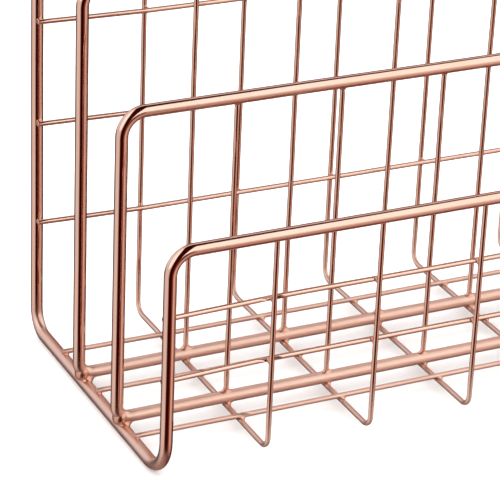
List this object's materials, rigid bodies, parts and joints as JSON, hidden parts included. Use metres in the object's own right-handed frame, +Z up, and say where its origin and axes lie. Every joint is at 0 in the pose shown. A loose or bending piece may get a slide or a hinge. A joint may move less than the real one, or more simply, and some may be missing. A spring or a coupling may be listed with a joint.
{
  "type": "vertical file sorter",
  "caption": "Open desk file sorter of welded steel wire with stepped upright panels that hold folders and paper on edge between them.",
  "frame": {"origin": "on the desk, under the middle of the sorter's bounding box", "axes": "+X to the right along the panels, +Y from the low front panel to the tall back panel, +Z up"},
  "size_m": [0.3102, 0.1328, 0.2184],
  "materials": {
    "frame_wire": "bright copper plate",
    "basket_wire": "bright copper plate"
  },
  "bodies": {
    "root": {"outer_frame": "frame_wire", "low_divider_hoop": "frame_wire", "tall_divider_hoop": "frame_wire", "low_divider_upright_1": "basket_wire", "low_divider_upright_2": "basket_wire", "low_divider_upright_3": "basket_wire", "low_divider_upright_4": "basket_wire", "low_divider_upright_5": "basket_wire", "low_divider_upright_6": "basket_wire", "tall_divider_upright_1": "basket_wire", "tall_divider_upright_2": "basket_wire", "tall_divider_upright_3": "basket_wire", "tall_divider_upright_4": "basket_wire", "tall_divider_upright_5": "basket_wire", "tall_divider_upright_6": "basket_wire", "basket_wire_1": "basket_wire", "basket_wire_2": "basket_wire", "basket_wire_3": "basket_wire", "basket_wire_4": "basket_wire", "basket_wire_5": "basket_wire", "basket_wire_6": "basket_wire", "front_row_wire_1": "basket_wire", "front_row_wire_2": "basket_wire", "back_row_wire_1": "basket_wire", "back_row_wire_2": "basket_wire", "back_row_wire_3": "basket_wire", "back_row_wire_4": "basket_wire", "floor_row_wire_1": "basket_wire", "floor_row_wire_2": "basket_wire", "floor_row_wire_3": "basket_wire"}
  },
  "joints": []
}
